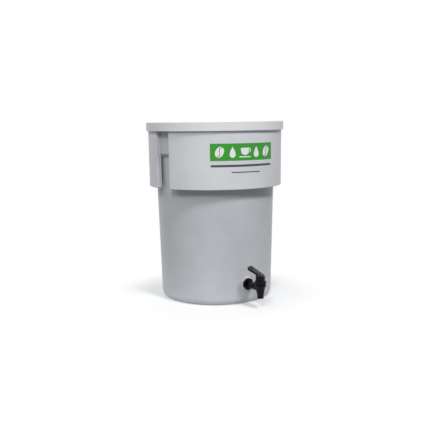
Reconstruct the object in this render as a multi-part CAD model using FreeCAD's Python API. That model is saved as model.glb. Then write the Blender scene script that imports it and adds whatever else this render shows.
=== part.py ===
import FreeCAD, Part
import math
import os

# A cold brew coffee maker: a moulded tub with a grip skirt hung from its rim, a loose lid, a strainer
# bag on a hoop with a paper filter bag in it, and a self-closing faucet. All sizes are millimetres.
# The tub is one moulding. Its wall with the floor, its shoulder, neck and rim, and the skirt's two
# panels with their ribs are kept as solids of their own, which meet face to face.
# The origin is the centre of the tub's foot, +Z is up and the faucet points along -Y.
# An azimuth is measured in degrees from -Y, towards +X.

Vector = FreeCAD.Vector
origin = Vector(0, 0, 0)
up = Vector(0, 0, 1)
across = Vector(0, 1, 0)

# Tub
wall = 3.0                  # thickness of every moulded wall
base_radius = 133.4         # outside of the wall, carried down to the foot
wall_draft = 1.61           # degrees, wider towards the top
base_corner = 16.0          # outside round between wall and foot
base_bevel = 9.0            # inside, between wall and floor
floor = 4.0                 # thickness of the flat floor
rim_height = 418.8          # top of the rim
neck_height = 68.8          # from the shoulder's top to the rim
shoulder_rise = 8.0
shoulder_step = 7.9         # how far the neck stands outside the wall
rim_chamfer = 0.8

# Grip skirt, two equal panels with a gap between their ends
skirt_gap = 6.4             # between the neck and the skirt, under the rim
skirt_hang = 148.2          # from the rim's top to the skirt's lower edge
skirt_draft = 0.48          # degrees, narrower towards the bottom
panel_count = 2
notch_azimuth = -80.7       # middle of the first gap
notch_angle = 15.75         # degrees of arc in each gap
return_depth = 11.0         # how far a panel's ends turn in, from its outer face
return_round = 2.4          # round on a panel's upright outer edges
panel_corner = 4.0          # round on a panel's lower corners
skirt_edge = 0.9            # chamfer along the skirt's lower outer edge
rib_count = 6               # ribs under the rim, in each panel
rib_height = 30.0
rib_thickness = 2.4

# Lid
lid_thickness = 3.2
lid_height = 20.6
lid_play = 2.1              # between the rim and the lid's lip
lid_lip = 2.5
lid_chamfer = 1.6
lid_dish = 2.0              # how far the lid's middle is sunk
plug_play = 0.8             # between the neck and the lid's plug ring
plug_wall = 2.4
plug_depth = 12.0
lead_in = 1.0               # chamfer at the foot of the plug ring
lid_rib_count = 8
lid_rib_height = 5.0
lid_rib_thickness = 2.0
lid_hub_radius = 28.0

# Strainer bag on its hoop, and the paper filter bag inside it
hoop_thickness = 1.6        # the hoop is a flat band
hoop_width = 6.0
hem_play = 0.1
hem_cloth = 0.9
hem_gap = 0.8               # between the hem and the neck
hem_rest = 0.1              # between the hem and the shoulder
bag_cloth = 1.0
bag_play = 1.9              # between the strainer bag and the end of the faucet's shank
bag_flare = 30.0            # height over which the bag widens to its hem
bag_floor_gap = 6.5         # between the bag and the tub's floor
paper = 0.8
paper_gap = 1.0             # between the paper and the strainer
paper_drop = 6.0            # from the foot of the hem down to the paper's mouth

# Faucet: the shank through the wall
spigot_height = 48.0        # shank axis above the foot
pad_radius = 17.5           # flat moulded pad around the hole, inside and outside
pad_proud = 0.85            # outer face of the pad beyond the wall
pad_thickness = 5.8
shank_radius = 7.9
shank_play = 0.3
shank_bore = 4.5
shank_runout = 1.5          # shank beyond the lock nut
washer_play = 0.2
outer_washer_radius = 15.8
outer_washer_thickness = 2.6
inner_washer_radius = 14.6
inner_washer_thickness = 2.4
nut_flats = 25.0            # across the lock nut's flats
nut_thickness = 9.0
nut_chamfer = 1.4
thread_play = 0.1
flange_radius = 14.0
flange_thickness = 3.5
flange_chamfer = 0.9
neck_tube_radius = 7.75     # shank between the flange and the valve
faucet_reach = 52.4         # from the pad's face to the valve's axis

# Faucet: the valve, with heights from the shank axis
spout_drop = 23.0
spout_radius = 7.2
spout_length = 5.0          # straight end that a hose slips over
outlet_bore = 5.0
seat_drop = 9.0
seat_lip = 1.1              # width and height of the raised seat
chamber_radius = 7.9
valve_radius = 11.0         # of the tapered part, at its top
cone_top = 2.0
head_radius = 12.8          # ring that the bonnet's collar screws down to
head_base = 3.6
head_top = 8.6
head_chamfer = 0.7
valve_neck_radius = 9.6
valve_neck_height = 6.4

# Faucet: the bonnet
bonnet_gap = 0.3            # between the collar and the valve's head
collar_radius = 13.4
collar_height = 9.1
collar_chamfer = 1.8
groove_count = 12
groove_radius = 1.2
bonnet_radius = 10.7
bonnet_height = 10.3        # from the clamped rim of the seat cup to the top
bonnet_roof = 2.5
bonnet_chamfer = 0.6
spring_room = 6.2           # radius of the bore around the spring

# Faucet: seat cup, stem and spring
cup_rim = 1.2               # thickness of the clamped rim
cup_rim_play = 0.2
cup_radius = 6.8
cup_wall = 0.9
cup_plug = 4.5
stem_radius = 2.2
stem_play = 0.1
stem_flange_radius = 5.4
stem_flange_thickness = 1.6
stem_flange_gap = 0.2
knob_radius = 3.2
knob_thickness = 1.6
knob_neck = 1.0
knob_play = 0.1
spring_radius = 4.3         # to the middle of the wire
spring_wire = 0.45          # half the width of the square wire
spring_turns = 5

# Faucet: the lever
pin_rise = 3.6              # pin axis above the bonnet's top, at rest
pin_radius = 1.0
pin_length = 19.0
pin_play = 0.05
eye_thickness = 3.6
slot_play = 0.1
lever_heading = 122.2       # degrees from +X towards +Y, at rest
lever_slope = 28.0          # degrees, the paddle's rise at rest
lever_cover = 3.5           # paddle's top above the pin
paddle_thickness = 4.7
paddle_reach = 27.6         # from the faucet's axis to the tip
paddle_back = 9.0
paddle_root_width = 15.0
paddle_tip_width = 24.0
paddle_corner = 3.5
paddle_chamfer = 0.9
heel_radius = 10.6
heel_lift = 7.5             # stem lift for each radian that the lever turns
heel_play = 0.05
heel_steps = 8

# Places worked out from the sizes above
shoulder_top = rim_height - neck_height
shoulder_base = shoulder_top - shoulder_rise
rim_under = rim_height - wall
skirt_bottom = rim_height - skirt_hang


def wall_radius(height):
    return base_radius + height * math.tan(math.radians(wall_draft))


neck_radius = wall_radius(shoulder_base) + shoulder_step
rim_radius = neck_radius + skirt_gap + wall
lid_top = rim_height + lid_thickness
lid_radius = rim_radius + lid_play + lid_lip


def skirt_radius(height):
    return rim_radius - (rim_under - height) * math.tan(math.radians(skirt_draft))


# Distances from the tub's axis, out along the shank
pad_face = wall_radius(spigot_height) + pad_proud
pad_back = pad_face - pad_thickness
flange_back = pad_face + outer_washer_thickness
nut_face = pad_back - inner_washer_thickness
nut_back = nut_face - nut_thickness
shank_end = nut_back - shank_runout
valve_distance = pad_face + faucet_reach

# Heights inside the faucet
spout_mouth = spigot_height - spout_drop
seat_height = spigot_height - seat_drop
valve_ledge = spigot_height + head_top
valve_top = valve_ledge + valve_neck_height
cup_clamp = valve_top + cup_rim
bonnet_top = cup_clamp + bonnet_height
bonnet_ceiling = bonnet_top - bonnet_roof
collar_base = valve_ledge + bonnet_gap
plug_top = seat_height + cup_plug
spring_foot = plug_top + stem_flange_gap + stem_flange_thickness
pin_height = bonnet_top + pin_rise
eye_radius = stem_radius
full_lift = heel_lift * math.radians(lever_slope)


def rounded_outline(corners, place):
    """A closed face through (u, v, radius) corners, each rounded to its radius."""
    flat = [Vector(u, v, 0) for u, v, _ in corners]
    stretches = []
    for index, (_, _, radius) in enumerate(corners):
        here = flat[index]
        to_last = (flat[index - 1] - here).normalize()
        to_next = (flat[(index + 1) % len(flat)] - here).normalize()
        if radius == 0:
            stretches.append((here, None, here))
            continue
        half = to_last.getAngle(to_next) / 2
        setback = radius / math.tan(half)
        middle = here + (to_last + to_next).normalize() * (radius / math.sin(half) - radius)
        stretches.append((here + to_last * setback, middle, here + to_next * setback))
    edges = []
    for index, (start, middle, end) in enumerate(stretches):
        if middle is not None:
            edges.append(Part.Arc(place(start), place(middle), place(end)).toShape())
        following = stretches[(index + 1) % len(stretches)][0]
        if (following - end).Length > 1e-6:
            edges.append(Part.LineSegment(place(end), place(following)).toShape())
    return Part.Face(Part.Wire(edges))


def upright(point):
    return Vector(point.x, 0, point.y)


def level(point):
    return Vector(point.x, point.y, 0)


def turned(corners, angle=360.0):
    """A solid of revolution about Z, from (radius, height, round) corners."""
    return rounded_outline(corners, upright).revolve(origin, up, angle)


def tube(inner, outer, bottom, top):
    corners = [(inner, bottom, 0), (outer, bottom, 0), (outer, top, 0), (inner, top, 0)]
    return turned(corners)


def disc(radius, bottom, top):
    return Part.makeCylinder(radius, top - bottom, Vector(0, 0, bottom))


def plate(corners, thickness):
    """A plate on the XZ plane, centred on it, from (x, z, round) corners."""
    face = rounded_outline(corners, upright)
    face.translate(across * (-thickness / 2))
    return face.extrude(across * thickness)


def at_azimuth(shape, azimuth):
    """Turns a shape made around +X to the given azimuth."""
    return shape.rotated(origin, up, azimuth - 90)


def along_shank(shape):
    """Lays a shape made around +Z along the shank, with +Z pointing out of the tub."""
    return shape.rotated(origin, Vector(1, 0, 0), 90).translated(Vector(0, 0, spigot_height))


def at_valve(shape):
    return shape.translated(Vector(0, -valve_distance, 0))


def at_lever(shape):
    """Takes a shape made with the pin at the origin and the lever along +X to its place."""
    turned_shape = shape.rotated(origin, up, lever_heading)
    return at_valve(turned_shape.translated(Vector(0, 0, pin_height)))


def edges_where(shape, test):
    return [edge for edge in shape.Edges if test(edge)]


def one_solid(shape):
    merged = shape.removeSplitter()
    return merged.Solids[0]


# Tub

def container():
    """The wall and the floor, up to the foot of the shoulder, with the faucet's pad and hole."""
    bucket = turned([
        (0, 0, 0),
        (base_radius, 0, base_corner),
        (wall_radius(shoulder_base), shoulder_base, 0),
        (wall_radius(shoulder_base) - wall, shoulder_base + wall / 2, 0),
        (wall_radius(floor + base_bevel) - wall, floor + base_bevel, 0),
        (wall_radius(floor) - wall - base_bevel, floor, 0),
        (0, floor, 0),
    ])
    pad = disc(pad_radius, pad_back, pad_face)
    hole = disc(shank_radius + shank_play, pad_back - wall, pad_face + wall)
    return one_solid(bucket.fuse(along_shank(pad)).cut(along_shank(hole)))


def tub_shoulder():
    """The slope where the tub widens, which the strainer's hem rests on."""
    return turned([
        (wall_radius(shoulder_base), shoulder_base, 0),
        (neck_radius, shoulder_top, 0),
        (neck_radius - wall, shoulder_top + wall / 2, 0),
        (wall_radius(shoulder_base) - wall, shoulder_base + wall / 2, 0),
    ])


def tub_neck():
    return turned([
        (neck_radius, shoulder_top, 0),
        (neck_radius, rim_under, 0),
        (neck_radius - wall, rim_under, 0),
        (neck_radius - wall, shoulder_top + wall / 2, 0),
    ])


def tub_rim():
    """The flat flange that the lid lies on and the skirt hangs from."""
    inner = neck_radius - wall
    return turned([
        (inner, rim_under, 0),
        (rim_radius, rim_under, 0),
        (rim_radius, rim_height - rim_chamfer, 0),
        (rim_radius - rim_chamfer, rim_height, 0),
        (inner + rim_chamfer, rim_height, 0),
        (inner, rim_height - rim_chamfer, 0),
    ])


def skirt_panel(number):
    """One panel of the skirt, with its two inturned ends."""
    step = 360.0 / panel_count
    span = step - notch_angle
    low = skirt_radius(skirt_bottom)
    band = turned([
        (low - return_depth, skirt_bottom, 0),
        (low - skirt_edge, skirt_bottom, 0),
        (low, skirt_bottom + skirt_edge, 0),
        (rim_radius, rim_under, 0),
        (rim_radius - return_depth, rim_under, 0),
    ], span)
    behind = turned([
        (low - 2 * return_depth, skirt_bottom - wall, 0),
        (low - wall, skirt_bottom - wall, 0),
        (low - wall, skirt_bottom, 0),
        (rim_radius - wall, rim_under, 0),
        (rim_radius - wall, rim_height, 0),
        (low - 2 * return_depth, rim_height, 0),
    ], span - 2 * return_angle())
    cutters = [behind.rotated(origin, up, return_angle())]
    for side, end in ((1, 0), (-1, span)):
        cutters.append(corner_cutter(side).rotated(origin, up, end))
        cutters.append(upright_cutter(side).rotated(origin, up, end))
    panel = at_azimuth(band.cut(cutters), panel_start(number))
    return one_solid(panel.cut([tub_shoulder(), tub_neck()]))


def panel_start(number):
    return notch_azimuth + notch_angle / 2 + number * 360.0 / panel_count


def return_angle():
    """The arc that the thickness of an inturned end takes up."""
    return math.degrees(wall / skirt_radius(skirt_bottom))


def quarter_round(radius, length, side):
    """A bar along Z whose cut rounds an edge, for material on the +Y (1) or -Y (-1) side."""
    size = 1.5 * radius
    low = -size if side > 0 else 0
    block = Part.makeBox(size, size, length, Vector(0, low, 0))
    return block.cut(Part.makeCylinder(radius, length))


def corner_cutter(side):
    """What is cut from a panel's lower corner, at its near (1) or far (-1) end."""
    bar = quarter_round(panel_corner, return_depth + 2 * wall, side)
    bar.rotate(origin, across, 90)
    outside = skirt_radius(skirt_bottom) - return_depth - wall
    bar.translate(Vector(outside, side * panel_corner, skirt_bottom + panel_corner))
    return bar


def upright_cutter(side):
    """What is cut from a panel's upright outer edge, at its near (1) or far (-1) end."""
    bar = quarter_round(return_round, skirt_hang + 2 * wall, side)
    bar.translate(up * -wall)
    bar.rotate(origin, across, skirt_draft)
    outside = skirt_radius(skirt_bottom) - return_round
    bar.translate(Vector(outside, side * return_round, skirt_bottom))
    return bar


def skirt_front():
    return skirt_panel(0)


def skirt_back():
    return skirt_panel(1)


def skirt_ribs():
    """Ribs that tie the skirt's panels to the neck, close under the rim."""
    inner = neck_radius - wall / 2
    outer = rim_radius - wall / 2
    low = rim_under - rib_height
    plain = plate([
        (inner, low - (outer - inner), 0),
        (outer - wall, low, 0),
        (outer, low, 0),
        (outer, rim_under, 0),
        (inner, rim_under, 0),
    ], rib_thickness)
    span = 360.0 / panel_count - notch_angle
    ribs = []
    for number in range(panel_count):
        panel = skirt_panel(number)
        for rib in range(rib_count):
            azimuth = panel_start(number) + span * (rib + 0.5) / rib_count
            ribs.append(at_azimuth(plain, azimuth).cut([tub_neck(), panel]).Solids[0])
    return Part.makeCompound(ribs)


# Lid

def lid():
    plug_outer = neck_radius - wall - plug_play
    plug_inner = plug_outer - plug_wall
    dish_top = lid_top - lid_dish
    dish_under = dish_top - lid_thickness
    cap = turned([
        (0, dish_under, 0),
        (plug_inner, dish_under, 0),
        (plug_inner, rim_height - plug_depth, 0),
        (plug_outer - lead_in, rim_height - plug_depth, 0),
        (plug_outer, rim_height - plug_depth + lead_in, 0),
        (plug_outer, rim_height, 0),
        (lid_radius - lid_lip, rim_height, 0),
        (lid_radius - lid_lip, lid_top - lid_height, 0),
        (lid_radius, lid_top - lid_height, 0),
        (lid_radius, lid_top - lid_chamfer, 0),
        (lid_radius - lid_chamfer, lid_top, 0),
        (plug_inner + lid_dish, lid_top, 0),
        (plug_inner - lid_dish, dish_top, 0),
        (0, dish_top, 0),
    ])
    hub = tube(lid_hub_radius - lid_rib_thickness, lid_hub_radius, dish_under - lid_rib_height,
               dish_under + lid_thickness / 2)
    pieces = [hub]
    for number in range(lid_rib_count):
        rib = plate([
            (lid_hub_radius - lid_rib_thickness / 2, dish_under - lid_rib_height, 0),
            (plug_inner + plug_wall / 2, dish_under - lid_rib_height, 0),
            (plug_inner + plug_wall / 2, dish_under + lid_thickness / 2, 0),
            (lid_hub_radius - lid_rib_thickness / 2, dish_under + lid_thickness / 2, 0),
        ], lid_rib_thickness)
        pieces.append(at_azimuth(rib, number * 360.0 / lid_rib_count))
    return one_solid(cap.fuse(pieces))


# Strainer bag, hoop and filter bag

hem_thickness = hoop_thickness + 2 * (hem_play + hem_cloth)
hem_width = hoop_width + 2 * (hem_play + hem_cloth)
hem_outer = neck_radius - wall - hem_gap
hem_inner = hem_outer - hem_thickness
bag_radius = shank_end - bag_play
bag_foot = floor + bag_floor_gap


def hem_foot():
    """Height at which the hem's outer edge lies on the sloping shoulder inside the tub."""
    reach = hem_outer - (wall_radius(shoulder_base) - wall)
    return shoulder_base + wall / 2 + reach * shoulder_rise / shoulder_step + hem_rest


def strainer_hoop():
    low = hem_foot() + hem_cloth + hem_play
    inner = hem_inner + hem_cloth + hem_play
    return tube(inner, inner + hoop_thickness, low, low + hoop_width)


def strainer_hem():
    """The band that is folded over the hoop and sewn, with the hoop's tunnel inside it."""
    low = hem_foot()
    high = low + hem_width
    band = tube(hem_inner, hem_outer, low, high)
    return band.cut(tube(hem_inner + hem_cloth, hem_outer - hem_cloth,
                         low + hem_cloth, high - hem_cloth))


def strainer_bag():
    """The strainer's wall, straight above its foot and flared out to the hem."""
    inner = bag_radius - bag_cloth
    flare = hem_foot() - bag_flare
    return turned([
        (inner, bag_foot, 0),
        (bag_radius, bag_foot, 0),
        (bag_radius, flare, 0),
        (hem_inner + bag_cloth, hem_foot(), 0),
        (hem_inner, hem_foot(), 0),
        (inner, flare + bag_cloth, 0),
    ])


def strainer_base():
    return disc(bag_radius - bag_cloth, bag_foot, bag_foot + bag_cloth)


def filter_bag():
    foot = bag_foot + bag_cloth
    outer = bag_radius - bag_cloth - paper_gap
    mouth = hem_foot() - paper_drop
    return turned([
        (0, foot, 0),
        (outer, foot, 0),
        (outer, mouth, 0),
        (outer - paper, mouth, 0),
        (outer - paper, foot + paper, 0),
        (0, foot + paper, 0),
    ])


# Faucet, fixed pieces

def outer_washer():
    inner = shank_radius + washer_play
    return along_shank(tube(inner, outer_washer_radius, pad_face, flange_back))


def inner_washer():
    inner = shank_radius + washer_play
    return along_shank(tube(inner, inner_washer_radius, nut_face, pad_back))


def lock_nut():
    corner_radius = nut_flats / math.sqrt(3)
    corners = []
    for number in range(6):
        turn = math.radians(60 * number)
        corners.append((corner_radius * math.cos(turn), corner_radius * math.sin(turn), 0))
    hexagon = rounded_outline(corners, level).extrude(up * nut_thickness)
    hexagon.translate(up * nut_back)
    cap = turned([
        (0, nut_back, 0),
        (nut_flats / 2, nut_back, 0),
        (corner_radius, nut_back + nut_chamfer, 0),
        (corner_radius, nut_face, 0),
        (0, nut_face, 0),
    ])
    bore = disc(shank_radius + thread_play, nut_back, nut_face)
    return along_shank(hexagon.common(cap).cut(bore))


def faucet_body():
    shank = along_shank(turned([
        (0, shank_end, 0),
        (shank_radius, shank_end, 0),
        (shank_radius, flange_back, 0),
        (flange_radius, flange_back, 0),
        (flange_radius, flange_back + flange_thickness - flange_chamfer, 0),
        (flange_radius - flange_chamfer, flange_back + flange_thickness, 0),
        (neck_tube_radius, flange_back + flange_thickness, 0),
        (neck_tube_radius, valve_distance, 0),
        (0, valve_distance, 0),
    ]))
    valve = turned([
        (0, spout_mouth, 0),
        (spout_radius, spout_mouth, 0),
        (spout_radius, spout_mouth + spout_length, 0),
        (valve_radius, spigot_height + cone_top, 0),
        (head_radius, spigot_height + head_base, 0),
        (head_radius, valve_ledge - head_chamfer, 0),
        (head_radius - head_chamfer, valve_ledge, 0),
        (valve_neck_radius, valve_ledge, 0),
        (valve_neck_radius, valve_top, 0),
        (0, valve_top, 0),
    ])
    hollow = turned([
        (0, spout_mouth, 0),
        (outlet_bore, spout_mouth, 0),
        (outlet_bore, seat_height, 0),
        (outlet_bore + seat_lip, seat_height, 0),
        (outlet_bore + seat_lip, seat_height - seat_lip, 0),
        (chamber_radius, seat_height - seat_lip, 0),
        (chamber_radius, valve_top, 0),
        (0, valve_top, 0),
    ])
    bore = along_shank(disc(shank_bore, shank_end, valve_distance))
    solid = shank.fuse(at_valve(valve)).cut([at_valve(hollow), bore])
    return one_solid(solid)


def bonnet():
    collar_top = collar_base + collar_height
    thread_radius = valve_neck_radius + thread_play
    shell = turned([
        (thread_radius, collar_base, 0),
        (collar_radius - collar_chamfer, collar_base, 0),
        (collar_radius, collar_base + collar_chamfer, 0),
        (collar_radius, collar_top - collar_chamfer, 0),
        (bonnet_radius, collar_top, 0),
        (bonnet_radius, bonnet_top - bonnet_chamfer, 0),
        (bonnet_radius - bonnet_chamfer, bonnet_top, 0),
        (stem_radius + stem_play, bonnet_top, 0),
        (stem_radius + stem_play, bonnet_ceiling, 0),
        (spring_room, bonnet_ceiling, 0),
        (spring_room, cup_clamp, 0),
        (thread_radius, cup_clamp, 0),
    ])
    grooves = []
    for number in range(groove_count):
        groove = disc(groove_radius, collar_base, collar_top)
        groove.translate(Vector(collar_radius + groove_radius / 2, 0, 0))
        grooves.append(at_azimuth(groove, number * 360.0 / groove_count))
    return at_valve(one_solid(shell.cut(grooves)))


# Faucet, moving pieces

def seat_cup():
    inner = cup_radius - cup_wall
    knob_top = plug_top - knob_neck
    knob_room = knob_radius + knob_play
    return at_valve(turned([
        (0, seat_height, 0),
        (cup_radius - cup_wall, seat_height, 0),
        (cup_radius, seat_height + cup_wall, 0),
        (cup_radius, valve_top, 0),
        (valve_neck_radius - cup_rim_play, valve_top, 0),
        (valve_neck_radius - cup_rim_play, cup_clamp, 0),
        (inner, cup_clamp, 0),
        (inner, plug_top, 0),
        (stem_radius + knob_play, plug_top, 0),
        (stem_radius + knob_play, knob_top + knob_play, 0),
        (knob_room, knob_top + knob_play, 0),
        (knob_room, knob_top - knob_thickness - knob_play, 0),
        (0, knob_top - knob_thickness - knob_play, 0),
    ]))


def stem():
    knob_top = plug_top - knob_neck
    flange_low = plug_top + stem_flange_gap
    rod = turned([
        (0, knob_top - knob_thickness, 0),
        (knob_radius, knob_top - knob_thickness, 0),
        (knob_radius, knob_top, 0),
        (stem_radius, knob_top, 0),
        (stem_radius, flange_low, 0),
        (stem_flange_radius, flange_low, 0),
        (stem_flange_radius, spring_foot, 0),
        (stem_radius, spring_foot, 0),
        (stem_radius, pin_height, 0),
        (0, pin_height, 0),
    ])
    rod.translate(up * -pin_height)
    eye = Part.makeCylinder(eye_radius, eye_thickness, across * (-eye_thickness / 2), across)
    flat_foot = -pin_rise - full_lift
    flats = []
    for side in (-1, 1):
        block = Part.makeBox(4 * stem_radius, stem_radius, 2 * (eye_radius - flat_foot))
        block.translate(Vector(-2 * stem_radius, -stem_radius / 2, flat_foot))
        block.translate(across * side * (eye_thickness + stem_radius) / 2)
        flats.append(block)
    pin_hole = Part.makeCylinder(pin_radius, 4 * stem_radius, across * (-2 * stem_radius), across)
    return at_lever(one_solid(rod.fuse(eye).cut(flats + [pin_hole])))


def closing_spring():
    length = bonnet_ceiling - spring_foot
    helix = Part.makeHelix(length / spring_turns, length, spring_radius)
    corners = []
    for side, top in ((-1, -1), (1, -1), (1, 1), (-1, 1)):
        corners.append(Vector(spring_radius + side * spring_wire, 0, top * spring_wire))
    section = Part.makePolygon(corners + corners[:1])
    coil = Part.Wire(helix.Edges).makePipeShell([section], True, True)
    ground = coil.common(disc(spring_radius + 2 * spring_wire, 0, length))
    return at_valve(one_solid(ground).translated(up * spring_foot))


def lever_pin():
    pin = Part.makeCylinder(pin_radius, pin_length, across * (-pin_length / 2), across)
    return at_lever(pin)


def heel_point(turn):
    """A point of the heel's cam, an involute, so that each degree lifts the stem equally."""
    away = Vector(math.sin(turn), 0, -math.cos(turn))
    along = Vector(math.cos(turn), 0, math.sin(turn))
    return away * (pin_rise - heel_play + heel_lift * turn) + along * heel_lift


def paddle_line(x, depth):
    """Height of a line parallel to the paddle's top and the given depth below it."""
    slope = math.radians(lever_slope)
    return lever_cover + x * math.tan(slope) - depth / math.cos(slope)


def lever_heel():
    """The round heel, cut below to the cam and above to the paddle's slope."""
    slope = math.radians(lever_slope)
    cam_points = [heel_point(slope * number / heel_steps) for number in range(heel_steps + 1)]
    cam = Part.BSplineCurve()
    cam.interpolate(cam_points)
    low = -pin_rise + heel_play
    middle = paddle_thickness / 2
    back = (low - paddle_line(0, middle)) / math.tan(slope)
    front = heel_radius + 1
    corners = [
        cam_points[-1],
        Vector(front, 0, cam_points[-1].z + (front - cam_points[-1].x) * math.tan(slope)),
        Vector(front, 0, paddle_line(front, middle)),
        Vector(back, 0, low),
        cam_points[0],
    ]
    edges = [cam.toShape()]
    for start, end in zip(corners, corners[1:]):
        edges.append(Part.LineSegment(start, end).toShape())
    face = Part.Face(Part.Wire(edges))
    face.translate(across * -front)
    wedge = face.extrude(across * 2 * front)
    return wedge.common(disc(heel_radius, low, 2 * heel_radius))


def lever_paddle():
    tip = paddle_reach
    back = -paddle_back
    side = plate([
        (back - 1, paddle_line(back - 1, paddle_thickness), 0),
        (tip + 1, paddle_line(tip + 1, paddle_thickness), 0),
        (tip + 1, paddle_line(tip + 1, 0), 0),
        (back - 1, paddle_line(back - 1, 0), 0),
    ], 2 * paddle_tip_width)
    plan = rounded_outline([
        (back, -paddle_root_width / 2, paddle_corner),
        (tip, -paddle_tip_width / 2, paddle_corner),
        (tip, paddle_tip_width / 2, paddle_corner),
        (back, paddle_root_width / 2, paddle_corner),
    ], level)
    plan.translate(up * -paddle_reach)
    paddle = side.common(plan.extrude(up * 3 * paddle_reach))
    slope = math.radians(lever_slope)

    def on_top(edge):
        middle = edge.CenterOfMass
        return abs(middle.z - paddle_line(middle.x, 0)) < 0.01

    paddle = paddle.makeChamfer(paddle_chamfer, edges_where(paddle, on_top))
    keep = Part.makeBox(3 * tip, 3 * tip, 3 * tip, Vector(-tip, -1.5 * tip, -pin_rise + heel_play))
    return paddle.common(keep)


def lever_slot():
    """The slot for the stem's eye, open below over the whole angle that the lever turns."""
    half = eye_radius + slot_play
    turn = math.radians(lever_slope)
    away = Vector(math.sin(turn), 0, -math.cos(turn))
    along = Vector(math.cos(turn), 0, math.sin(turn))
    far_top = along * half
    far_low = far_top + away * 3 * pin_rise
    width = eye_thickness + 2 * slot_play
    fan = plate([
        (-half, 0, 0),
        (-half, -2 * pin_rise, 0),
        (far_low.x, far_low.z, 0),
        (far_top.x, far_top.z, 0),
    ], width)
    top = Part.makeCylinder(half, width, across * (-width / 2), across)
    return fan.fuse(top)


def lever():
    hole_length = 2 * paddle_tip_width
    pin_hole = Part.makeCylinder(pin_radius + pin_play, hole_length,
                                 across * (-hole_length / 2), across)
    body = lever_heel().fuse(lever_paddle()).cut([lever_slot(), pin_hole])
    return at_lever(one_solid(body))


makers = [
    container, tub_shoulder, tub_neck, tub_rim, skirt_front, skirt_back, skirt_ribs, lid,
    strainer_hoop, strainer_hem, strainer_bag, strainer_base, filter_bag,
    outer_washer, inner_washer, lock_nut, faucet_body, bonnet,
    seat_cup, stem, closing_spring, lever_pin, lever,
]

os.makedirs("parts", exist_ok=True)
for maker in makers:
    solid = maker()
    solid.exportStep("parts/" + maker.__name__ + ".step")
    print(maker.__name__, solid.isValid(), len(solid.Solids), round(solid.Volume), "mm3")
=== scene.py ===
import math

import bmesh
import bpy
from mathutils import Matrix, Vector, noise


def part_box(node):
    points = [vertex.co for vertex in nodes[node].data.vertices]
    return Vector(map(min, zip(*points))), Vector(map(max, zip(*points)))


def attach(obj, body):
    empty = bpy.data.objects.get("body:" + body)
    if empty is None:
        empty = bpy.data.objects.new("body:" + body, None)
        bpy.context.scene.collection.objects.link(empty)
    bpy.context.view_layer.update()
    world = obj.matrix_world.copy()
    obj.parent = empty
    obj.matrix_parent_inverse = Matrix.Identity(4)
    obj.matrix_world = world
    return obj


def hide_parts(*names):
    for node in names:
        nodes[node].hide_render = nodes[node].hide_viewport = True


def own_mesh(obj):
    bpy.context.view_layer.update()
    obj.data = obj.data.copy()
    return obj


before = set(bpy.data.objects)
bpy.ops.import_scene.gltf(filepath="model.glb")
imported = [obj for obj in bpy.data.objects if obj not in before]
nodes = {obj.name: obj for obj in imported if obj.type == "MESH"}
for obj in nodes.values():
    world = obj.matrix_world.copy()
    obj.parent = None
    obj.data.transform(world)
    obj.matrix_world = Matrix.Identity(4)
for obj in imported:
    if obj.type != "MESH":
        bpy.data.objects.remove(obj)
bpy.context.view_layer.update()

# The scene is in metres, +Z up, and mm() takes the dictionaries' millimetres into it. The faucet
# points along -Y, and azimuths go from there towards +X.


def mm(value):
    return value / 1000.0


def around(radius, azimuth, height):
    turn = math.radians(azimuth)
    return Vector((radius * math.sin(turn), -radius * math.cos(turn), height))


def middleOf(name):
    low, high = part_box(name)
    return Vector([(a + b) / 2 for a, b in zip(low, high)])


def linearColour(hexCode):
    channels = []
    for start in (0, 2, 4):
        value = int(hexCode[start:start + 2], 16) / 255
        channels.append(value / 12.92 if value <= 0.04045 else ((value + 0.055) / 1.055) ** 2.4)
    return (*channels, 1.0)


def addNode(tree, kind, settings=None, **links):
    node = tree.nodes.new(kind)
    for name, value in (settings or {}).items():
        if name in node.inputs:
            node.inputs[name].default_value = value
        else:
            setattr(node, name, value)
    for name, source in links.items():
        tree.links.new(source, node.inputs[name.replace("_", " ")])
    return node


def newMaterial(name, settings):
    material = bpy.data.materials.new(name)
    material.use_nodes = True
    tree = material.node_tree
    shader = tree.nodes["Principled BSDF"]
    for socket, value in settings.items():
        shader.inputs[socket].default_value = value
    place = addNode(tree, "ShaderNodeTexCoord").outputs["Object"]
    return material, tree, shader, place


def colourRamp(tree, source, stops):
    ramp = addNode(tree, "ShaderNodeValToRGB", Fac=source)
    elements = ramp.color_ramp.elements
    elements[0].position, elements[0].color = stops[0][0], linearColour(stops[0][1])
    elements[1].position, elements[1].color = stops[-1][0], linearColour(stops[-1][1])
    for position, colour in stops[1:-1]:
        elements.new(position).color = linearColour(colour)
    return ramp.outputs["Color"]


def addBump(tree, shader, height, depth, strength):
    bump = addNode(tree, "ShaderNodeBump", {"Strength": strength, "Distance": depth}, Height=height)
    tree.links.new(bump.outputs["Normal"], shader.inputs["Normal"])


def addObject(name, mesh, material, body):
    mesh.materials.append(material)
    piece = bpy.data.objects.new(name, mesh)
    bpy.context.scene.collection.objects.link(piece)
    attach(piece, body)
    return piece


def smoothMesh(name, points, faces):
    mesh = bpy.data.meshes.new(name)
    mesh.from_pydata(points, [], faces)
    shape = bmesh.new()
    shape.from_mesh(mesh)
    bmesh.ops.recalc_face_normals(shape, faces=shape.faces[:])
    shape.to_mesh(mesh)
    shape.free()
    mesh.polygons.foreach_set("use_smooth", [True] * len(mesh.polygons))
    return mesh


def gridFaces(rows, columns, closedRows=False):
    faces = []
    for row in range(rows if closedRows else rows - 1):
        nextRow = (row + 1) % rows
        for column in range(columns):
            nextColumn = (column + 1) % columns
            faces.append((row * columns + column, row * columns + nextColumn,
                          nextRow * columns + nextColumn, nextRow * columns + column))
    return faces


print("materials")

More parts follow.
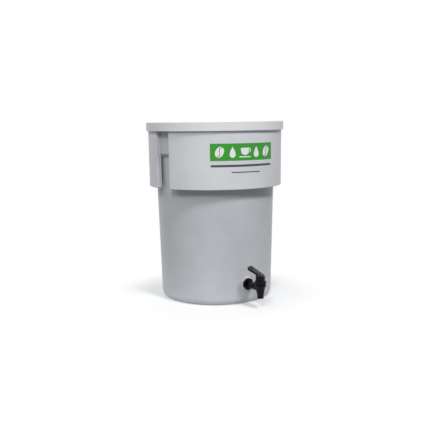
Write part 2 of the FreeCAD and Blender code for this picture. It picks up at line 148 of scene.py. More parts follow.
# Injection moulded HDPE: waxy, slightly uneven in tone, with a fine satin grain from the mould.
tubPlastic = {
    "light": "CACCD1",
    "dark": "C2C4C9",
    "toneSize": 60.0,       # mm between lighter and darker areas
    "grainSize": 1.4,       # mm; the real grain of about 0.3 mm is drawn coarser so that it shows
    "grainDepth": 0.02,
    "roughness": 0.38,
    "roughnessSpread": 0.06,
    "gloss": 0.3,
}
# The skirt is the same plastic, painted paler: a painted lit copy of the tub's plastic that stands
# in for the light that comes through it where it hangs free.
paintedLitSkirtPlastic = dict(tubPlastic, light="E2E4E8", dark="DADCE1", roughness=0.42)
# The lid is paler still: partly its own whiter plastic, partly painted light that stands in for
# light coming through it.
lidPlasticPartlyPaintedLit = dict(tubPlastic, light="EBEDEF", dark="E5E7EA", roughness=0.42, gloss=0.22)


def mouldedHdpe(name, look):
    material, tree, shader, place = newMaterial(name, {
        "IOR": 1.54, "Roughness": look["roughness"], "Specular IOR Level": look["gloss"],
    })
    tone = addNode(tree, "ShaderNodeTexNoise",
                   {"Scale": 1 / mm(look["toneSize"]), "Detail": 3.0}, Vector=place)
    colour = colourRamp(tree, tone.outputs["Fac"], [(0.3, look["dark"]), (0.7, look["light"])])
    tree.links.new(colour, shader.inputs["Base Color"])
    grain = addNode(tree, "ShaderNodeTexNoise",
                    {"Scale": 1 / mm(look["grainSize"]), "Detail": 4.0}, Vector=place)
    addBump(tree, shader, grain.outputs["Fac"], mm(look["grainDepth"]), 0.5)
    polish = addNode(tree, "ShaderNodeMapRange", {
        "From Min": 0.3, "From Max": 0.7,
        "To Min": look["roughness"] - look["roughnessSpread"],
        "To Max": look["roughness"] + look["roughnessSpread"],
    }, Value=tone.outputs["Fac"])
    tree.links.new(polish.outputs["Result"], shader.inputs["Roughness"])
    return material


# Black moulded acetal: dense and slippery, a soft gloss with a faint orange peel from the mould.
blackPlastic = {
    "light": "0E0D10",
    "dark": "08070A",
    "toneSize": 14.0,       # mm
    "peelSize": 1.1,
    "peelDepth": 0.012,
    "roughness": 0.20,
    "rubbed": 0.05,         # how much smoother and rougher it gets in patches
    "scuffed": 0.08,
    "gloss": 0.15,
}
# White acetal for the stem, and nylon for the nut: paler, and less polished.
whiteAcetal = dict(blackPlastic, light="E3E3DF", dark="D8D8D3", peelDepth=0.01, roughness=0.34,
                   gloss=0.5)
nutNylon = dict(blackPlastic, light="E2E0DA", dark="D6D3CB", peelSize=0.8, peelDepth=0.02,
                roughness=0.48, gloss=0.5)


def mouldedAcetal(name, look):
    material, tree, shader, place = newMaterial(name, {
        "IOR": 1.48, "Specular IOR Level": look["gloss"],
    })
    tone = addNode(tree, "ShaderNodeTexNoise",
                   {"Scale": 1 / mm(look["toneSize"]), "Detail": 4.0}, Vector=place)
    colour = colourRamp(tree, tone.outputs["Fac"], [(0.35, look["dark"]), (0.65, look["light"])])
    tree.links.new(colour, shader.inputs["Base Color"])
    peel = addNode(tree, "ShaderNodeTexNoise",
                   {"Scale": 1 / mm(look["peelSize"]), "Detail": 2.0}, Vector=place)
    addBump(tree, shader, peel.outputs["Fac"], mm(look["peelDepth"]), 0.6)
    wear = addNode(tree, "ShaderNodeMapRange", {
        "From Min": 0.35, "From Max": 0.65,
        "To Min": look["roughness"] - look["rubbed"],
        "To Max": look["roughness"] + look["scuffed"],
    }, Value=tone.outputs["Fac"])
    tree.links.new(wear.outputs["Result"], shader.inputs["Roughness"])
    return material


# Moulded silicone rubber: matt and a little dusty, with light sinking a millimetre or so into it.
whiteSilicone = {
    "light": "F1F2F3",
    "dark": "E6E7E9",
    "depth": 1.2,           # mm that light travels inside
    "clearness": 0.4,       # share of the light that goes in
    "dust": 0.5,            # mm between specks
    "dustDepth": 0.01,
    "roughness": 0.55,
}
clearSilicone = dict(whiteSilicone, light="DAD9D3", dark="CFCEC7", depth=2.5, roughness=0.45)


def mouldedSilicone(name, look):
    material, tree, shader, place = newMaterial(name, {
        "IOR": 1.41, "Roughness": look["roughness"],
        "Subsurface Weight": look["clearness"], "Subsurface Scale": mm(look["depth"]),
        "Subsurface Radius": (1.0, 1.0, 1.0),   # every colour goes as deep
    })
    dust = addNode(tree, "ShaderNodeTexNoise",
                   {"Scale": 1 / mm(look["dust"]), "Detail": 3.0}, Vector=place)
    colour = colourRamp(tree, dust.outputs["Fac"], [(0.35, look["dark"]), (0.6, look["light"])])
    tree.links.new(colour, shader.inputs["Base Color"])
    addBump(tree, shader, dust.outputs["Fac"], mm(look["dustDepth"]), 0.5)
    return material


# Drawn stainless wire and rod: bright, with fine die lines that blur the highlight.
drawnSteel = {
    "light": "B9BABC",
    "dark": "A2A3A6",
    "lineWidth": 0.3,       # mm
    "lineDepth": 0.006,
    "roughness": 0.28,
    "bright": 0.06,         # how much smoother and rougher the lines get
    "dull": 0.08,
}


def drawnStainless(name, look):
    material, tree, shader, place = newMaterial(name, {"Metallic": 1.0})
    lines = addNode(tree, "ShaderNodeTexNoise",
                    {"Scale": 1 / mm(look["lineWidth"]), "Detail": 2.0}, Vector=place)
    colour = colourRamp(tree, lines.outputs["Fac"], [(0.3, look["dark"]), (0.7, look["light"])])
    tree.links.new(colour, shader.inputs["Base Color"])
    blur = addNode(tree, "ShaderNodeMapRange", {
        "To Min": look["roughness"] - look["bright"], "To Max": look["roughness"] + look["dull"],
    }, Value=lines.outputs["Fac"])
    tree.links.new(blur.outputs["Result"], shader.inputs["Roughness"])
    addBump(tree, shader, lines.outputs["Fac"], mm(look["lineDepth"]), 0.4)
    return material


# Woven nylon filter mesh: smooth filaments, so crossing lines of small bright threads, with painted
# shade in the gaps between them.
strainerCloth = {
    "thread": "EDEDE8",
    "gap": "A9A8A1",
    "threadSpacing": 1.6,   # mm; the real 0.3 mm mesh is drawn coarser so that it shows
    "threadDepth": 0.12,
    "roughness": 0.42,
}
hemCloth = dict(strainerCloth, gap="C9C8C1", threadSpacing=1.1, threadDepth=0.08)


def wovenNylon(name, look):
    material, tree, shader, place = newMaterial(name, {"IOR": 1.53, "Roughness": look["roughness"]})
    turn = addNode(tree, "ShaderNodeSeparateXYZ", Vector=place)
    azimuth = addNode(tree, "ShaderNodeMath", {"operation": "ARCTAN2"})
    tree.links.new(turn.outputs["X"], azimuth.inputs[0])
    tree.links.new(turn.outputs["Y"], azimuth.inputs[1])
    perimeter = 2 * math.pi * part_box("strainer_bag")[1][0]
    threads = round(perimeter / mm(look["threadSpacing"]))
    waves = []
    for source, frequency in ((azimuth.outputs[0], threads),
                              (turn.outputs["Z"], 2 * math.pi / mm(look["threadSpacing"]))):
        phase = addNode(tree, "ShaderNodeMath", {"operation": "MULTIPLY"})
        tree.links.new(source, phase.inputs[0])
        phase.inputs[1].default_value = frequency
        wave = addNode(tree, "ShaderNodeMath", {"operation": "COSINE"})
        tree.links.new(phase.outputs[0], wave.inputs[0])
        waves.append(wave.outputs[0])
    top = addNode(tree, "ShaderNodeMath", {"operation": "MAXIMUM"})
    tree.links.new(waves[0], top.inputs[0])
    tree.links.new(waves[1], top.inputs[1])
    height = addNode(tree, "ShaderNodeMapRange", {"From Min": -1.0, "From Max": 1.0},
                     Value=top.outputs[0]).outputs["Result"]
    # Painted shade: the gaps between the threads are coloured darker than the threads.
    colour = colourRamp(tree, height, [(0.3, look["gap"]), (0.75, look["thread"])])
    tree.links.new(colour, shader.inputs["Base Color"])
    addBump(tree, shader, height, mm(look["threadDepth"]), 0.7)
    return material


# Creped filter paper: dull, slightly fibrous, with fine crosswise crimps.
filterPaper = {
    "light": "EAE6DC",
    "dark": "DAD4C7",
    "crepe": 2.2,           # mm between crimps
    "crepeStretch": 4.0,    # times longer round the bag than up it
    "crepeDepth": 0.15,
    "fibre": 4.0,           # mm
    "roughness": 0.85,
    "fuzz": 0.15,           # faint sheen of loose fibres
    "fuzzRoughness": 0.5,
}


def crepedPaper(name, look):
    material, tree, shader, place = newMaterial(name, {
        "Roughness": look["roughness"],
        "Sheen Weight": look["fuzz"], "Sheen Roughness": look["fuzzRoughness"],
    })
    fibre = addNode(tree, "ShaderNodeTexNoise",
                    {"Scale": 1 / mm(look["fibre"]), "Detail": 8.0, "Roughness": 0.7},
                    Vector=place)
    colour = colourRamp(tree, fibre.outputs["Fac"], [(0.3, look["dark"]), (0.65, look["light"])])
    tree.links.new(colour, shader.inputs["Base Color"])
    across = 1 / look["crepeStretch"]
    stretched = addNode(tree, "ShaderNodeMapping", {"Scale": (across, across, 1.0)}, Vector=place)
    crimps = addNode(tree, "ShaderNodeTexNoise",
                     {"Scale": 1 / mm(look["crepe"]), "Detail": 3.0},
                     Vector=stretched.outputs["Vector"])
    addBump(tree, shader, crimps.outputs["Fac"], mm(look["crepeDepth"]), 0.8)
    return material


# Screen printed ink: an even matt film that shows the plastic's grain and thins out in specks.
inks = {
    "green": ("2B911F", "329727"),
    "white": ("EEF0EE", "F7F8F7"),
    "dark": ("3A3D44", "44474F"),
    "speck": 0.8,           # mm
    "speckDepth": 0.01,
    "roughness": 0.5,
}


def printedInk(name, shades):
    material, tree, shader, place = newMaterial(name, {
        "IOR": 1.5, "Roughness": inks["roughness"],
    })
    speck = addNode(tree, "ShaderNodeTexNoise",
                    {"Scale": 1 / mm(inks["speck"]), "Detail": 3.0}, Vector=place)
    colour = colourRamp(tree, speck.outputs["Fac"], [(0.35, shades[0]), (0.6, shades[1])])
    tree.links.new(colour, shader.inputs["Base Color"])
    addBump(tree, shader, speck.outputs["Fac"], mm(inks["speckDepth"]), 0.3)
    return material


whiteSiliconeRubber = mouldedSilicone("mouldedSilicone", whiteSilicone)
stainless = drawnStainless("drawnStainless", drawnSteel)
acetal = mouldedAcetal("mouldedBlackAcetal", blackPlastic)
tubHdpe = mouldedHdpe("mouldedTubHdpe", tubPlastic)
# The skirt and rim take the paler copy, painted light that stands in for light coming through the
# skirt.
paintedLitSkirtHdpe = mouldedHdpe("skirtHdpePaintedLit", paintedLitSkirtPlastic)
finishes = {
    "container": tubHdpe,
    "tub_shoulder": tubHdpe,
    "tub_neck": tubHdpe,
    "tub_rim": paintedLitSkirtHdpe,
    "skirt_front": paintedLitSkirtHdpe,
    "skirt_back": paintedLitSkirtHdpe,
    "skirt_ribs": paintedLitSkirtHdpe,
    "lid": mouldedHdpe("lidHdpePartlyPaintedLit", lidPlasticPartlyPaintedLit),
    "strainer_hoop": stainless,
    "outer_washer": whiteSiliconeRubber,
    "inner_washer": whiteSiliconeRubber,
    "lock_nut": mouldedAcetal("mouldedNylon", nutNylon),
    "faucet_body": acetal,
    "bonnet": acetal,
    "lever": acetal,
    "stem": mouldedAcetal("mouldedWhiteAcetal", whiteAcetal),
    "lever_pin": stainless,
}
for nodeName, finish in finishes.items():
    nodes[nodeName].data.materials[0] = finish

print("camera")

# Camera: eye level with the lid, a little to the left of the faucet.
cameraPlace = {
    "distance": mm(1657.8),
    "aside": mm(-1.82),
    "height": mm(422.2),
    "azimuth": -31.6,       # degrees from the faucet's direction
    "pitch": 7.84,          # degrees down
    "roll": -0.73,
    "lens": 56.96,
    "sensor": 36.0,
    "sight": 30.0,          # m that the camera sees
}


def addCamera(place):
    data = bpy.data.cameras.new("camera")
    data.lens = place["lens"]
    data.sensor_width = place["sensor"]
    data.clip_end = place["sight"]
    camera = bpy.data.objects.new("camera", data)
    bpy.context.scene.collection.objects.link(camera)
    side = around(place["aside"], place["azimuth"] + 90, 0)
    camera.location = around(place["distance"], place["azimuth"], place["height"]) + side
    turn = Matrix.Rotation(math.radians(place["azimuth"]), 4, "Z")
    tilt = Matrix.Rotation(math.radians(90 - place["pitch"]), 4, "X")
    roll = Matrix.Rotation(math.radians(place["roll"]), 4, "Z")
    camera.rotation_euler = (turn @ tilt @ roll).to_euler()
    bpy.context.scene.camera = camera


addCamera(cameraPlace)

print("printed panel")

# The print lies on the skirt's face, which leans in by a small draft below the rim.
panel = {
    "azimuth": -6.98,       # middle of the panel
    "arc": 57.25,           # degrees
    "low": 335.5,           # mm above the foot
    "high": 373.5,
    "corner": 0.8,
    "film": 0.12,           # mm of ink over the skirt
    "iconFilm": 0.22,
    "iconHeight": 25.0,
    "iconPitch": 29.5,
    "step": 2.0,            # mm between cuts, so that the film follows the skirt's curve
    "ruleRound": 2.2,       # a rule's thickness over the radius of its ends
}
rules = [
    {"name": "longRule", "height": 324.2, "thickness": 4.8, "from": -35.3, "to": 20.9},
    {"name": "shortRule", "height": 309.5, "thickness": 2.2, "from": -18.6, "to": 7.4},
]
skirtDraft = 0.48           # degrees
rimLow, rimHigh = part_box("tub_rim")


def skirtRadius(height):
    return rimHigh[0] - (rimLow[2] - height) * math.tan(math.radians(skirtDraft))


def arcLength(degrees, height):
    # In mm, along the skirt's face.
    return math.radians(degrees) * skirtRadius(height) * 1000


def printFilm(name, outlines, azimuth, height, lift, material):
    # Outlines are in mm about the given place on the skirt, x along the arc and y up.
    shape = bmesh.new()
    for outline in outlines:
        shape.faces.new([shape.verts.new((x, y, 0)) for x, y in outline])
    left = min(vert.co.x for vert in shape.verts)
    right = max(vert.co.x for vert in shape.verts)
    cut = left + panel["step"]
    while cut < right:
        geometry = shape.verts[:] + shape.edges[:] + shape.faces[:]
        bmesh.ops.bisect_plane(shape, geom=geometry, plane_co=(cut, 0, 0), plane_no=(1, 0, 0))
        cut += panel["step"]
    bmesh.ops.triangulate(shape, faces=shape.faces[:])
    bmesh.ops.recalc_face_normals(shape, faces=shape.faces[:])
    for vert in shape.verts:
        level = height + mm(vert.co.y)
        radius = skirtRadius(level)
        turn = azimuth + math.degrees(mm(vert.co.x) / radius)
        vert.co = around(radius + mm(lift), turn, level)
    mesh = bpy.data.meshes.new(name)
    shape.to_mesh(mesh)
    shape.free()
    addObject(name, mesh, material, "tub")


def roundedBox(width, height, corner):
    points = []
    for side, (x, y) in enumerate(((1, 1), (-1, 1), (-1, -1), (1, -1))):
        for step in range(5):
            turn = math.radians(90 * side + 22.5 * step)
            points.append((x * (width / 2 - corner) + corner * math.cos(turn),
                           y * (height / 2 - corner) + corner * math.sin(turn)))
    return points


# The icons' sizes are shares of their height.
beanIcon = {
    "halfWidth": 1 / 3,
    "crease": 1 / 14,
    "creaseSway": 1 / 9,    # that the crease swings to each side
    "lean": -28,            # degrees
}


def beanOutlines(height):
    # Two halves of an ellipse, parted by an S-shaped crease, leaning to the right.
    tall = height / 2
    wide, crease = height * beanIcon["halfWidth"], height * beanIcon["crease"]
    sway = height * beanIcon["creaseSway"]
    halves = []
    for side in (1, -1):
        points = []
        for step in range(25):
            turn = math.pi * step / 24
            points.append((side * (wide * math.sin(turn) + crease / 2), tall * math.cos(turn)))
        for step in range(1, 16):
            share = step / 16
            points.append((sway * math.sin(2 * math.pi * share) + side * crease / 2,
                           -tall + 2 * tall * share))
        halves.append(points)
    lean = math.radians(beanIcon["lean"])
    return [[(x * math.cos(lean) - y * math.sin(lean), x * math.sin(lean) + y * math.cos(lean))
             for x, y in points] for points in halves]


dropIcon = {
    "halfWidth": 0.3875,
    "point": 1.4,           # more draws the sides in further towards the top
}


def dropOutlines(height):
    # A circle whose sides are drawn in towards the top, down to a point.
    points = []
    for step in range(40):
        turn = 2 * math.pi * step / 40
        taper = abs(math.sin(turn / 2)) ** dropIcon["point"]
        points.append((height * dropIcon["halfWidth"] * math.sin(turn) * taper,
                       height / 2 * math.cos(turn)))
    return [points]


cupIcon = {
    "halfWidth": 0.42,
    "foot": 0.28,           # below the icon's middle
    "lip": 0.36,            # above it, as are the next two
    "shoulder": 0.036,      # where the straight side turns into the round foot
    "handleRise": 0.1512,
    "footHalfWidth": 0.3864,
    "handleAside": 0.4074,
    "handleSquash": 0.9,    # its width over its height
    "handleOuter": 0.21,
    "handleInner": 0.12,
    "handleTurn": 80,       # degrees to each side
    "saucerDrop": 0.44,
    "saucerWidth": 1.15,
    "saucerHeight": 0.1,
}


def cupOutlines(height):
    # A cup with a round foot, a handle on its right and a saucer.
    half, footHalf = height * cupIcon["halfWidth"], height * cupIcon["footHalfWidth"]
    low, high = -height * cupIcon["foot"], height * cupIcon["lip"]
    shoulder = height * cupIcon["shoulder"]
    body = [(-half, high)]
    for step in range(13):
        turn = math.pi * (1 + step / 12)
        body.append((footHalf * math.cos(turn), shoulder + (shoulder - low) * math.sin(turn)))
    body.append((half, high))
    aside, rise = height * cupIcon["handleAside"], height * cupIcon["handleRise"]
    handle = []
    for radius, steps in ((height * cupIcon["handleOuter"], range(13)),
                          (height * cupIcon["handleInner"], range(12, -1, -1))):
        for step in steps:
            turn = math.radians(cupIcon["handleTurn"] * (step / 6 - 1))
            handle.append((aside + radius * cupIcon["handleSquash"] * math.cos(turn),
                           rise + radius * math.sin(turn)))
    thick = height * cupIcon["saucerHeight"]
    saucer = [(x, y - height * cupIcon["saucerDrop"])
              for x, y in roundedBox(height * cupIcon["saucerWidth"], thick, thick / 2)]
    return [body, handle, saucer]


def addPrint():
    green = printedInk("screenPrintedGreenInk", inks["green"])
    white = printedInk("screenPrintedWhiteInk", inks["white"])
    dark = printedInk("screenPrintedDarkInk", inks["dark"])
    height = mm((panel["low"] + panel["high"]) / 2)
    box = roundedBox(arcLength(panel["arc"], height), panel["high"] - panel["low"],
                     panel["corner"])
    printFilm("printedPanel", [box], panel["azimuth"], height, panel["film"], green)
    icons = [beanOutlines, dropOutlines, cupOutlines, dropOutlines, beanOutlines]
    pitch = math.degrees(mm(panel["iconPitch"]) / skirtRadius(height))
    for number, icon in enumerate(icons):
        azimuth = panel["azimuth"] + pitch * (number - (len(icons) - 1) / 2)
        printFilm("printedIcon_%d" % number, icon(panel["iconHeight"]), azimuth, height,
                  panel["iconFilm"], white)
    for rule in rules:
        middle = (rule["from"] + rule["to"]) / 2
        level = mm(rule["height"])
        length = arcLength(rule["to"] - rule["from"], level)
        line = roundedBox(length, rule["thickness"], rule["thickness"] / panel["ruleRound"])
        printFilm(rule["name"], [line], middle, level, panel["film"], dark)


addPrint()

print("bags")

# Both bags are sewn straight and hang a little slack, so their walls fold inwards together.
bags = {
    "columns": 220,
    "rows": 60,
    "folds": 9,             # folds around the bag
    "foldDrift": 22,        # radians that a fold wanders for each metre of height
    "foldSway": 2.2,        # radians that the folds crowd to one side
    "foldShare": 0.55,      # of its full depth that a fold has on average
    "foldChange": 0.45,     # how far that share changes from patch to patch
    "patchesUp": 9,         # changes for each metre of height
    "patchesRound": 1.4,
    "strainerFold": 1.6,    # mm that a fold goes in
    "paperFold": 3.2,
    "strainerThickness": 0.5,
    "paperThickness": 0.35,
    "clothOffset": 0.5,     # mm out from the base's edge, and up from its underside
    "paperInset": 0.4,      # mm in from the outside of the plain solid
    "paperTop": 0.6,        # mm from the plain solid's top to the paper's edge
    "bevel": 14.0,          # mm; drawn in corner at the foot
    "footRings": (0.15, 0.4, 0.65, 0.85),   # shares of the flat foot's radius
    "footSlack": 0.5,       # of the full slack, where the wall starts
    "footEase": 3,          # more reaches the full slack sooner
    "mouthSlack": 0.25,     # of the full slack, where the wall ends
    "mouthEase": 6,
    "flare": 30.0,          # mm over which the strainer widens to its hem
    "hemThickness": 3.6,
    "hemRound": 0.9,
    "hemWobble": 0.25,      # mm that the hem's edge wanders
    "hemBends": 9.0,        # more makes it wander more often round the bag
    "hemTuck": 2.5,         # mm that the cloth reaches up behind the hem
    "hemGap": 0.4,          # mm that the cloth stays clear of the hem's inside and foot
    "flareGap": 0.6,
    "stitchCount": 150,
    "stitchLength": 3.6,    # mm
    "stitchRadius": 0.22,
    "stitchRise": 1.6,      # mm above the hem's lower edge
    "stitchDip": 0.25,      # mm that a stitch stands out towards the middle of the bag
    "stitchSink": 0.05,     # mm that its ends go into the hem
}


def foldAt(azimuth, height):
    turn = math.radians(azimuth)
    patch = height * bags["patchesUp"]
    wave = 0.5 + 0.5 * math.sin(turn * bags["folds"] + height * bags["foldDrift"]
                                + bags["foldSway"] * math.sin(turn * 2 + patch))
    place = around(bags["patchesRound"], azimuth, patch)
    share = wave ** 2 * (bags["foldShare"] + bags["foldChange"] * noise.noise(place))
    return max(0.0, min(1.0, share))


def bagWall(name, profile, fold, thickness, material):
    # The profile runs from the middle of the foot to the mouth, in (radius, height, slackness).
    points = []
    columns = bags["columns"]
    for radius, height, slack in profile:
        for column in range(columns):
            azimuth = 360.0 * column / columns
            inwards = mm(fold) * slack * foldAt(azimuth, height)
            points.append(around(radius - inwards, azimuth, height))
    faces = gridFaces(len(profile), columns)
    foot = len(points)
    points.append(Vector((0, 0, profile[0][1])))
    for column in range(columns):
        faces.append((foot, (column + 1) % columns, column))
    mesh = smoothMesh(name, points, faces)
    mesh.materials.append(material)
    wall = bpy.data.objects.new(name, mesh)
    bpy.context.scene.collection.objects.link(wall)
    solidify = wall.modifiers.new("thickness", "SOLIDIFY")
    solidify.thickness = mm(thickness)
    solidify.offset = 0
    return wall


def straightProfile(radius, foot, top, bevel):
    # The wall hangs slack in its middle and is held at its foot and its mouth.
    rows = []
    for share in bags["footRings"]:
        rows.append(((radius - bevel) * share, foot, 0.0))
    for step in range(9):
        turn = math.radians(90 * step / 8)
        rows.append((radius - bevel + bevel * math.sin(turn),
                     foot + bevel - bevel * math.cos(turn), bags["footSlack"] * step / 8))
    count = bags["rows"]
    for step in range(1, count + 1):
        share = step / count
        slack = (min(1.0, bags["footSlack"] + bags["footEase"] * share)
                 * min(1.0, bags["mouthSlack"] + bags["mouthEase"] * (1 - share)))
        rows.append((radius, foot + bevel + (top - foot - bevel) * share, slack))
    return rows


def ringPiece(name, section, wobble, material, body):
    # The section is closed, in (radius, height); wobble is how far it moves in and out.
    points = []
    columns = bags["columns"]
    for radius, height in section:
        for column in range(columns):
            azimuth = 360.0 * column / columns
            shift = wobble * noise.noise(around(bags["hemBends"], azimuth, 0.0))
            points.append(around(radius - abs(shift), azimuth, height))
    mesh = smoothMesh(name, points, gridFaces(len(section), columns, True))
    return addObject(name, mesh, material, body)


def tubeMesh(name, routes, radius, sides):
    # Round tubes along open routes of points, closed at both ends.
    points, faces = [], []
    for route in routes:
        first = len(points)
        for index, place in enumerate(route):
            along = (route[min(index + 1, len(route) - 1)] - route[max(index - 1, 0)]).normalized()
            side = along.orthogonal().normalized()
            if abs(along.z) < 0.9:      # keeps the rings level unless the tube stands upright
                side = along.cross(Vector((0, 0, 1))).normalized()
            over = along.cross(side)
            for number in range(sides):
                turn = 2 * math.pi * number / sides
                points.append(place + side * radius * math.cos(turn)
                              + over * radius * math.sin(turn))
        for face in gridFaces(len(route), sides):
            faces.append(tuple(first + corner for corner in reversed(face)))
        faces.append(tuple(first + number for number in range(sides)))
        last = first + (len(route) - 1) * sides
        faces.append(tuple(last + number for number in reversed(range(sides))))
    return smoothMesh(name, points, faces)


def addStrainer():
    baseLow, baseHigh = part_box("strainer_base")
    hemLow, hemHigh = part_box("strainer_hem")
    cloth = wovenNylon("wovenNylonMesh", strainerCloth)
    hemOuter, hemTop, hemFoot = hemHigh[0], hemHigh[2], hemLow[2]
    hemInner = hemOuter - mm(bags["hemThickness"])
    wallRadius = baseHigh[0] + mm(bags["clothOffset"])
    foot = baseLow[2] + mm(bags["clothOffset"])
    flareFoot = hemFoot - mm(bags["flare"])
    profile = straightProfile(wallRadius, foot, flareFoot, mm(bags["bevel"]))
    flareRadius = hemInner + mm(bags["flareGap"])
    flareTop = hemFoot + mm(bags["hemGap"])
    for step in range(1, 9):
        share = step / 8
        profile.append((wallRadius + (flareRadius - wallRadius) * share,
                        flareFoot + (flareTop - flareFoot) * share,
                        bags["mouthSlack"] * (1 - share)))
    profile.append((hemInner + mm(bags["hemGap"]), hemFoot + mm(bags["hemTuck"]), 0.0))
    bag = bagWall("strainerCloth", profile, bags["strainerFold"], bags["strainerThickness"], cloth)
    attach(bag, "tub")
    corner = mm(bags["hemRound"])
    section = []
    for side, (x, y) in enumerate(((1, 1), (0, 1), (0, 0), (1, 0))):
        for step in range(4):
            turn = math.radians(90 * side + 30 * step)
            section.append((
                (hemOuter - corner if x else hemInner + corner) + corner * math.cos(turn),
                (hemTop - corner if y else hemFoot + corner) + corner * math.sin(turn)))
    binding = wovenNylon("wovenNylonBinding", hemCloth)
    hem = ringPiece("strainerHem", section, mm(bags["hemWobble"]), binding, "tub")
    routes = []
    for number in range(bags["stitchCount"]):
        azimuth = 360.0 * number / bags["stitchCount"]
        half = math.degrees(mm(bags["stitchLength"]) / 2 / hemInner)
        route = []
        for step in range(7):
            share = step / 6
            sink = mm(bags["stitchSink"]) - mm(bags["stitchDip"]) * math.sin(math.pi * share)
            route.append(around(hemInner + sink, azimuth + half * (2 * share - 1),
                                hemFoot + mm(bags["stitchRise"])))
        routes.append(route)
    thread = tubeMesh("hemStitches", routes, mm(bags["stitchRadius"]), 6)
    stitches = addObject("hemStitches", thread, wovenNylon("twistedNylonThread", hemCloth), "tub")
    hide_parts("strainer_bag", "strainer_base")
    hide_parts("strainer_hem")


def addFilterBag():
    low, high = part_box("filter_bag")
    radius = high[0] - mm(bags["paperInset"])
    foot = low[2] + mm(bags["paperInset"])
    top = high[2] - mm(bags["paperTop"])
    profile = straightProfile(radius, foot, top, mm(bags["bevel"]))
    paper = crepedPaper("crepedFilterPaper", filterPaper)
    bag = bagWall("filterPaperBag", profile, bags["paperFold"], bags["paperThickness"], paper)
    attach(bag, "tub")
    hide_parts("filter_bag")


addStrainer()
addFilterBag()

print("valve")

# Inside the faucet: a coil spring and a soft seat cup, which give way as the lever lifts the stem.
valve = {
    "springRadius": 4.3,    # mm, to the middle of the wire
    "wireRadius": 0.5,
    "wireShare": 0.98,      # drawn a hair thinner, to stay inside the plain solid
    "wireSides": 10,
    "turns": 8,
    "closedTurns": 1.0,     # turns that lie flat at each end
    "cupRadius": 6.8,
    "cupWall": 0.9,
    "cupPlug": 4.5,         # solid foot that shuts the seat
    "cupRim": 1.2,          # the thick edge clamped under the bonnet
    "cupColumns": 48,
    "cupCorner": 0.5,
    "cornerShare": 0.45,    # of a side that one rounded corner may take
    "knobNeck": 1.0,        # the pocket that holds the stem's knob starts this far down
    "pocketFoot": 1.8,
    "pocketRadius": 3.3,
    "throatRadius": 2.3,
}


def addSpring():
    low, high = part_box("closing_spring")
    middle = middleOf("closing_spring")
    wire = mm(valve["wireRadius"])
    foot, top = low[2] + wire, high[2] - wire
    closed = valve["closedTurns"]
    working = valve["turns"] - 2 * closed
    route = []
    for step in range(valve["turns"] * 32 + 1):
        turns = step / 32
        share = min(max((turns - closed) / working, 0.0), 1.0)
        height = foot + (top - foot) * share
        place = around(mm(valve["springRadius"]), 360 * turns, height)
        route.append(place + Vector((middle.x, middle.y, 0)))
    mesh = tubeMesh("valveSpring", [route], wire * valve["wireShare"], valve["wireSides"])
    spring = addObject("valveSpring", mesh, stainless, "spring")
    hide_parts("closing_spring")
    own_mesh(spring)


def roundedCorners(corners, reach):
    # Softens each corner of a (radius, height) line with a short curve.
    line = [corners[0]]
    for before, corner, after in zip(corners, corners[1:], corners[2:]):
        here = Vector(corner)
        toLast, toNext = Vector(before) - here, Vector(after) - here
        cut = min(reach, valve["cornerShare"] * min(toLast.length, toNext.length))
        start = here + toLast.normalized() * cut
        end = here + toNext.normalized() * cut
        for step in range(5):
            share = step / 4
            line.append(tuple(start * (1 - share) ** 2 + here * 2 * share * (1 - share)
                              + end * share ** 2))
    return line + [corners[-1]]


def addSeatCup():
    low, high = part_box("seat_cup")
    middle = middleOf("seat_cup")
    foot, top = low[2], high[2]
    outer = mm(valve["cupRadius"])
    inner = outer - mm(valve["cupWall"])
    rim = high[0] - middle.x
    rimFoot = top - mm(valve["cupRim"])
    plugTop = foot + mm(valve["cupPlug"])
    pocketTop, pocketFoot = plugTop - mm(valve["knobNeck"]), foot + mm(valve["pocketFoot"])
    throat, pocket = mm(valve["throatRadius"]), mm(valve["pocketRadius"])
    outside = [(0, foot), (inner, foot), (outer, foot + mm(valve["cupWall"])), (outer, rimFoot),
               (rim, rimFoot), (rim, top), (inner, top), (inner, plugTop)]
    inside = [(throat, plugTop), (throat, pocketTop), (pocket, pocketTop), (pocket, pocketFoot),
              (0, pocketFoot)]
    profile = roundedCorners(outside + inside, mm(valve["cupCorner"]))
    columns = valve["cupColumns"]
    points = []
    for radius, height in profile[1:-1]:
        for column in range(columns):
            points.append(around(radius, 360.0 * column / columns, height)
                          + Vector((middle.x, middle.y, 0)))
    faces = gridFaces(len(profile) - 2, columns)
    for row, (radius, height) in ((0, profile[0]), (len(profile) - 3, profile[-1])):
        points.append(Vector((middle.x, middle.y, height)))
        for column in range(columns):
            faces.append((len(points) - 1, row * columns + (column + 1) % columns,
                          row * columns + column))
    mesh = smoothMesh("seatCup", points, faces)
    cup = addObject("seatCup", mesh, mouldedSilicone("mouldedClearSilicone", clearSilicone), "tub")
    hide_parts("seat_cup")
    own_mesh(cup)


addSpring()
addSeatCup()

print("floor and light")

# One soft key lamp high on the right, weaker ones in front, at the left and behind.
studio = {
    "floorSize": 12.0,          # m
    "floor": "F4F5F7",
    "floorRoughness": 0.9,
    "paintedBounceNear": "ECEDEE",     # painted pool of bounce light: the floor's colour for what it sends back at the object, beside its foot
    "paintedBounceFar": "808183",
    "bounceReach": 0.45,        # m from the middle, where the bounce has faded
    "floorGlow": 0.27,          # share of plain white in what the camera sees of the floor
    "fadeStart": 0.14,          # m from the middle, where the floor starts to turn plain white
    "fadeEnd": 0.28,
    "ambient": 0.12,            # the white surround's strength where it lights the object
    "lampDistance": 4.4,
    "lampTarget": 0.2,          # m above the floor
    "lamps": [                  # degrees to the camera's right and above the horizon; m; W
        {"name": "keyLamp", "turn": 35.6, "rise": 52.0, "size": 0.7, "watts": 104.0},
        {"name": "fillLamp", "turn": -10.0, "rise": 41.0, "size": 1.2, "watts": 72.0},
        {"name": "leftLamp", "turn": -75.0, "rise": 50.0, "size": 2.0, "watts": 41.0},
        {"name": "backLamp", "turn": 180.0, "rise": 18.0, "size": 2.4, "watts": 52.0},
    ],
}


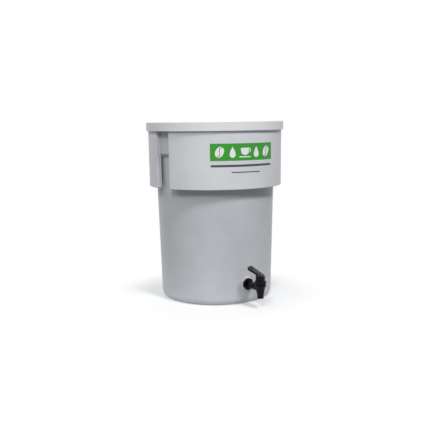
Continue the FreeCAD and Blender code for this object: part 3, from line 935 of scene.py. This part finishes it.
def areaLamp(look, distance, target):
    data = bpy.data.lights.new(look["name"], "AREA")
    data.shape = "SQUARE"
    data.size = look["size"]
    data.energy = look["watts"]
    lamp = bpy.data.objects.new(look["name"], data)
    bpy.context.scene.collection.objects.link(lamp)
    rise = math.radians(look["rise"])
    away = around(distance * math.cos(rise), cameraPlace["azimuth"] + look["turn"],
                  distance * math.sin(rise))
    lamp.location = Vector((0, 0, target)) + away
    lamp.rotation_euler = away.to_track_quat("Z", "Y").to_euler()


def seenDirectly(tree):
    rays = addNode(tree, "ShaderNodeLightPath")
    both = addNode(tree, "ShaderNodeMath", {"operation": "ADD"})
    tree.links.new(rays.outputs["Is Camera Ray"], both.inputs[0])
    tree.links.new(rays.outputs["Is Glossy Ray"], both.inputs[1])
    every = addNode(tree, "ShaderNodeMath", {"operation": "ADD", "use_clamp": True})
    tree.links.new(both.outputs[0], every.inputs[0])
    tree.links.new(rays.outputs["Is Transmission Ray"], every.inputs[1])
    return every.outputs[0]


def mixShaders(tree, share, first, second):
    mixed = addNode(tree, "ShaderNodeMixShader")
    if isinstance(share, float):
        mixed.inputs[0].default_value = share
    else:
        tree.links.new(share, mixed.inputs[0])
    tree.links.new(first, mixed.inputs[1])
    tree.links.new(second, mixed.inputs[2])
    return mixed.outputs[0]


def addFloor(look):
    half = look["floorSize"] / 2
    mesh = bpy.data.meshes.new("floor")
    mesh.from_pydata([(-half, -half, 0), (half, -half, 0), (half, half, 0), (-half, half, 0)], [],
                     [(0, 1, 2, 3)])
    floor = bpy.data.objects.new("floor", mesh)
    bpy.context.scene.collection.objects.link(floor)
    material, tree, shader, place = newMaterial("studioFloor", {
        "Base Color": linearColour(look["floor"]), "Roughness": look["floorRoughness"],
    })
    glow = addNode(tree, "ShaderNodeEmission", {"Strength": 1.0}).outputs[0]
    away = addNode(tree, "ShaderNodeVectorMath", {"operation": "LENGTH"}, Vector=place)
    reach = addNode(tree, "ShaderNodeMapRange", {
        "interpolation_type": "SMOOTHSTEP", "From Min": 0.0, "From Max": look["bounceReach"],
    }, Value=away.outputs["Value"])
    # Painted pool of light: the colour that lights the object from the floor fades from bright
    # beside the foot to dark further off; camera rays and reflections don't use it.
    paintedBounce = colourRamp(tree, reach.outputs["Result"],
                        [(0.0, look["paintedBounceNear"]), (1.0, look["paintedBounceFar"])])
    dull = addNode(tree, "ShaderNodeBsdfDiffuse", Color=paintedBounce).outputs[0]
    fade = addNode(tree, "ShaderNodeMapRange", {
        "interpolation_type": "SMOOTHSTEP",
        "From Min": look["fadeStart"], "From Max": look["fadeEnd"],
    }, Value=away.outputs["Value"])
    near = mixShaders(tree, look["floorGlow"], shader.outputs[0], glow)
    seen = mixShaders(tree, fade.outputs["Result"], near, glow)
    surface = mixShaders(tree, seenDirectly(tree), dull, seen)
    tree.links.new(surface, tree.nodes["Material Output"].inputs["Surface"])
    mesh.materials.append(material)


def addLight(look):
    for lamp in look["lamps"]:
        areaLamp(lamp, look["lampDistance"], look["lampTarget"])
    world = bpy.data.worlds.new("studioWorld")
    world.use_nodes = True
    bpy.context.scene.world = world
    tree = world.node_tree
    strength = addNode(tree, "ShaderNodeMapRange", {"To Min": look["ambient"], "To Max": 1.0},
                       Value=seenDirectly(tree))
    tree.links.new(strength.outputs["Result"], tree.nodes["Background"].inputs["Strength"])
    tree.nodes["Background"].inputs["Color"].default_value = (1, 1, 1, 1)


addFloor(studio)
addLight(studio)
bpy.context.scene.view_settings.view_transform = "Standard"
